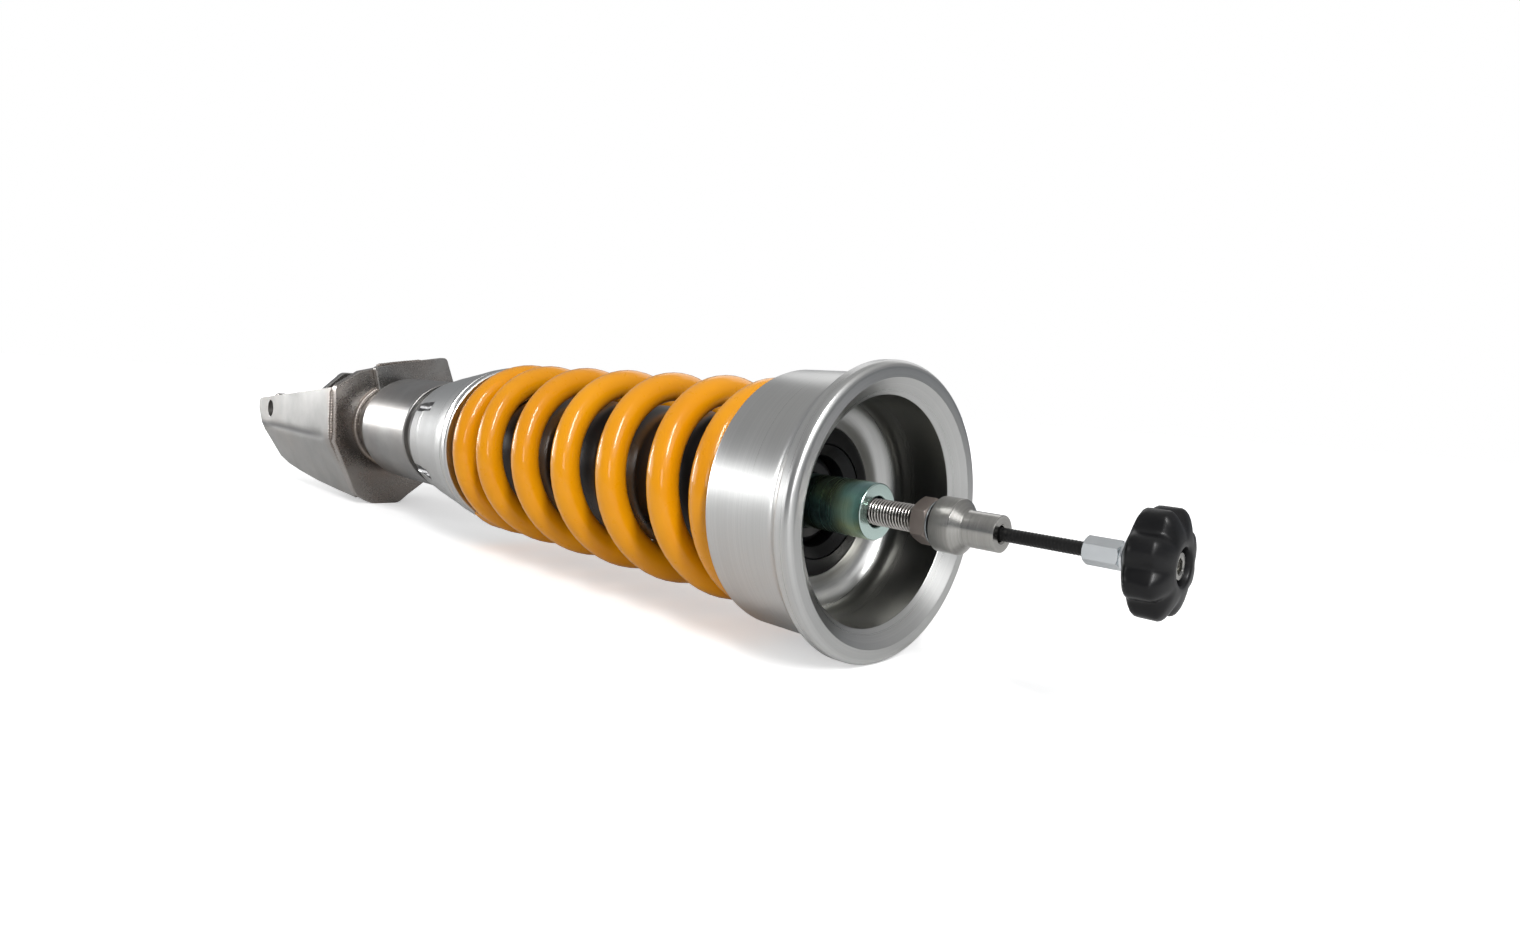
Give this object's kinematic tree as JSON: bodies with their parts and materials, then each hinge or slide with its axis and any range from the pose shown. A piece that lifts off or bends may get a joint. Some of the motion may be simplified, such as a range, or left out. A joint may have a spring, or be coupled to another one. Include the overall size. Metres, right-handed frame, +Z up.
{
  "type": "coilover strut",
  "caption": "Coilover strut lying on its side: coil spring between a screwed collar and a flanged aluminium cup, gas damper, welded fork and remote adjuster knob.",
  "frame": {"origin": "bottom centre of the bounding box, on the surface the part lies on", "axes": "+X along the damper axis from the fork to the adjuster knob, +Z up, +Y towards the leg with the link tab"},
  "size_m": [0.673, 0.1066, 0.1066],
  "materials": {
    "knob_plastic": "moulded black plastic with a soft gloss",
    "bright_zinc": "bright zinc plate",
    "black_sheath": "black ribbed sheath over a steel core",
    "stainless_steel": "satin turned stainless steel",
    "brown_steel": "oiled steel",
    "chrome": "hard chrome",
    "brass": "plain turned brass",
    "iridescent_zinc": "blue-green passivated zinc plate",
    "satin_aluminium": "satin turned and anodised aluminium",
    "black_rubber": "moulded black rubber",
    "black_plastic": "moulded black plastic",
    "yellow_enamel": "gloss orange-yellow enamel on spring steel",
    "grey_steel": "ground grey steel",
    "plated_steel": "plated pressed steel"
  },
  "bodies": {
    "strut_body": {"body_tube": "grey_steel", "wiper_seal": "black_rubber", "rod_guide": "satin_aluminium", "guide_bush": "brass", "rod_seal": "black_rubber", "seal_retainer": "grey_steel", "tube_end_cap": "grey_steel", "gas_valve_screw": "bright_zinc", "fork_crown": "plated_steel", "fork_bulkhead": "plated_steel", "fork_leg_near": "plated_steel", "fork_leg_far": "plated_steel", "eye_boss_near": "plated_steel", "eye_boss_far": "plated_steel", "link_tab": "plated_steel", "perch_sleeve": "plated_steel", "spring_seat_collar": "satin_aluminium", "boot_clamp": "grey_steel", "coil_spring": "yellow_enamel", "dust_boot": "black_rubber"},
    "rod_assembly": {"piston_rod": "chrome", "adjuster_adapter": "stainless_steel", "adapter_locknut": "brown_steel", "spacer_sleeve": "iridescent_zinc", "upper_spring_cup": "satin_aluminium", "mount_bush": "black_rubber", "bush_core": "black_plastic", "bump_washer": "grey_steel", "bump_stop": "black_rubber", "topout_spacer": "black_plastic", "rebound_shims": "grey_steel", "piston": "satin_aluminium", "piston_band": "black_plastic", "compression_shims": "grey_steel", "piston_nut": "grey_steel"},
    "adjuster": {"adjuster_knob": "knob_plastic", "knob_screw": "bright_zinc", "knob_washer": "bright_zinc", "shaft_coupling": "bright_zinc", "flex_shaft": "black_sheath", "adjuster_needle": "brass"},
    "gas_piston": {"floating_piston": "satin_aluminium", "floating_piston_ring": "black_rubber"},
    "lock_ring_body": {"lock_ring": "satin_aluminium"}
  },
  "joints": [
    {"name": "strut_compression", "type": "slide", "parent": "strut_body", "child": "rod_assembly", "axis": [-1, 0, 0], "range_m": [0, 0.075], "stiffness_N_per_m": 60000, "springref_m": -0.005, "deforming": ["coil_spring", "dust_boot"]},
    {"name": "adjuster_turn", "type": "hinge", "parent": "rod_assembly", "child": "adjuster", "pos_m": [0.3365, 0, 0.0533], "axis": [1, 0, 0], "range_deg": [-540, 540]},
    {"name": "gas_piston_slide", "type": "slide", "parent": "strut_body", "child": "gas_piston", "axis": [-1, 0, 0], "range_m": [0, 0.0075]},
    {"name": "lock_ring_turn", "type": "hinge", "parent": "strut_body", "child": "lock_ring_body", "pos_m": [-0.0676, 0, 0.0533], "axis": [1, 0, 0], "range_deg": [0, 90]}
  ],
  "couplings": [
    {"joint": "gas_piston_slide", "follows": "strut_compression", "ratio": 0.0968}
  ]
}
